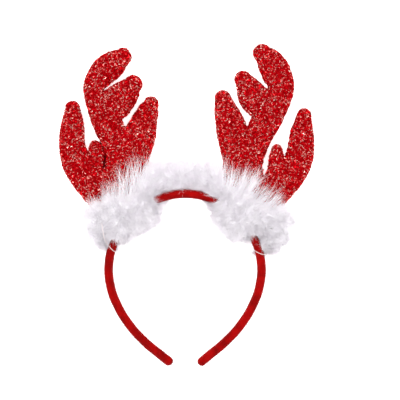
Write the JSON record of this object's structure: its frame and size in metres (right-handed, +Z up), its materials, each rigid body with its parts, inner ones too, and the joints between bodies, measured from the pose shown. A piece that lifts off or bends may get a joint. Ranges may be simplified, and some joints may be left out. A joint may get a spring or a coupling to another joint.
{
  "type": "reindeer antler headband",
  "caption": "Narrow velvet hoop headband with a pair of flat stuffed tinsel-fabric reindeer antlers and a white fur strip over their roots.",
  "frame": {"origin": "on the floor under the middle of the bounding box, with the headband lying on its back", "axes": "+X to the right in the front view, +Y from the hoop's tips towards the antler tips, +Z up out of the front"},
  "size_m": [0.204, 0.2578, 0.0353],
  "materials": {
    "velvet_band": "short red velvet over a plastic core",
    "tinsel_fabric": "red metallic tinsel fabric with pale glints",
    "white_fur": "soft white fluffy fur"
  },
  "bodies": {
    "root": {"headband": "velvet_band", "antler_left": "tinsel_fabric", "antler_right": "tinsel_fabric", "fur_trim": "white_fur"}
  },
  "joints": []
}
